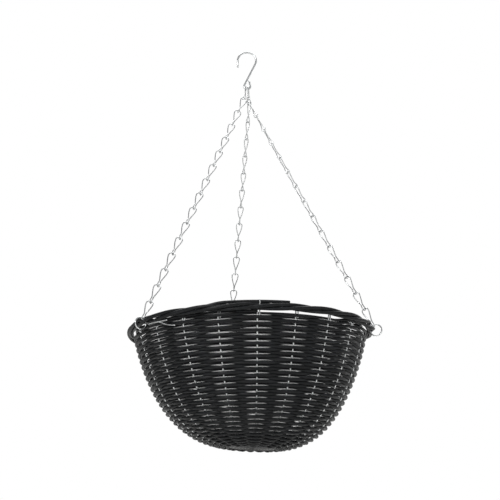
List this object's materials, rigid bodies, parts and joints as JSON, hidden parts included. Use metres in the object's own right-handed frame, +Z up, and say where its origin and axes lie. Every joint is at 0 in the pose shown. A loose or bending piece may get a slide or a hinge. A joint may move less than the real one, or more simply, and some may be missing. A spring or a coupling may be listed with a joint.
{
  "type": "hanging basket",
  "caption": "Round woven bowl with a wound border, hung from a wire hook on jack-chain legs that join the border at rings.",
  "frame": {"origin": "inside top of the hook's upper bend, where the hook rests on what holds it", "axes": "+Z up along the hang line, -Y towards the viewer, the hook's bend lies in the XZ plane"},
  "size_m": [0.3565, 0.3597, 0.611],
  "materials": {
    "hook_wire": "bright zinc plated wire",
    "chain_wire": "bright zinc plated wire",
    "ring_wire": "bright zinc plated wire",
    "frame_wire": "galvanised wire",
    "tie_wire": "bright tinned wire",
    "woven_cane": "satin black plastic cane",
    "border_cane": "satin black plastic cane"
  },
  "bodies": {
    "hook": {"hook": "hook_wire"},
    "basket": {"left_link_01": "chain_wire", "left_link_02": "chain_wire", "left_link_03": "chain_wire", "left_link_04": "chain_wire", "left_link_05": "chain_wire", "left_link_06": "chain_wire", "left_link_07": "chain_wire", "left_link_08": "chain_wire", "left_link_09": "chain_wire", "left_link_10": "chain_wire", "left_link_11": "chain_wire", "left_link_12": "chain_wire", "left_link_13": "chain_wire", "left_link_14": "chain_wire", "left_link_15": "chain_wire", "left_link_16": "chain_wire", "right_link_01": "chain_wire", "right_link_02": "chain_wire", "right_link_03": "chain_wire", "right_link_04": "chain_wire", "right_link_05": "chain_wire", "right_link_06": "chain_wire", "right_link_07": "chain_wire", "right_link_08": "chain_wire", "right_link_09": "chain_wire", "right_link_10": "chain_wire", "right_link_11": "chain_wire", "right_link_12": "chain_wire", "right_link_13": "chain_wire", "right_link_14": "chain_wire", "right_link_15": "chain_wire", "right_link_16": "chain_wire", "back_link_01": "chain_wire", "back_link_02": "chain_wire", "back_link_03": "chain_wire", "back_link_04": "chain_wire", "back_link_05": "chain_wire", "back_link_06": "chain_wire", "back_link_07": "chain_wire", "back_link_08": "chain_wire", "back_link_09": "chain_wire", "back_link_10": "chain_wire", "back_link_11": "chain_wire", "back_link_12": "chain_wire", "back_link_13": "chain_wire", "back_link_14": "chain_wire", "back_link_15": "chain_wire", "back_link_16": "chain_wire", "border_cane": "border_cane", "cane_end": "border_cane", "cane_tie": "tie_wire", "rim_hoop": "frame_wire", "weave": "woven_cane", "wire_frame": "frame_wire"},
    "left_ring": {"left_ring": "ring_wire"},
    "right_ring": {"right_ring": "ring_wire"},
    "back_ring": {"back_ring": "ring_wire"}
  },
  "joints": [
    {"name": "eye_swing", "type": "hinge", "parent": "hook", "child": "basket", "pos_m": [0, 0, -0.0614], "axis": [1, 0, 0], "range_deg": [-40, 40]},
    {"name": "left_ring_turn", "type": "hinge", "parent": "basket", "child": "left_ring", "pos_m": [-0.14449, -0.10421, -0.45027], "axis": [-0.585, 0.8111, 0], "continuous": true},
    {"name": "right_ring_turn", "type": "hinge", "parent": "basket", "child": "right_ring", "pos_m": [0.1733, -0.04129, -0.45027], "axis": [-0.2317, -0.9728, 0], "continuous": true},
    {"name": "back_ring_turn", "type": "hinge", "parent": "basket", "child": "back_ring", "pos_m": [-0.03613, 0.17445, -0.45027], "axis": [0.9792, 0.2028, 0], "continuous": true}
  ]
}
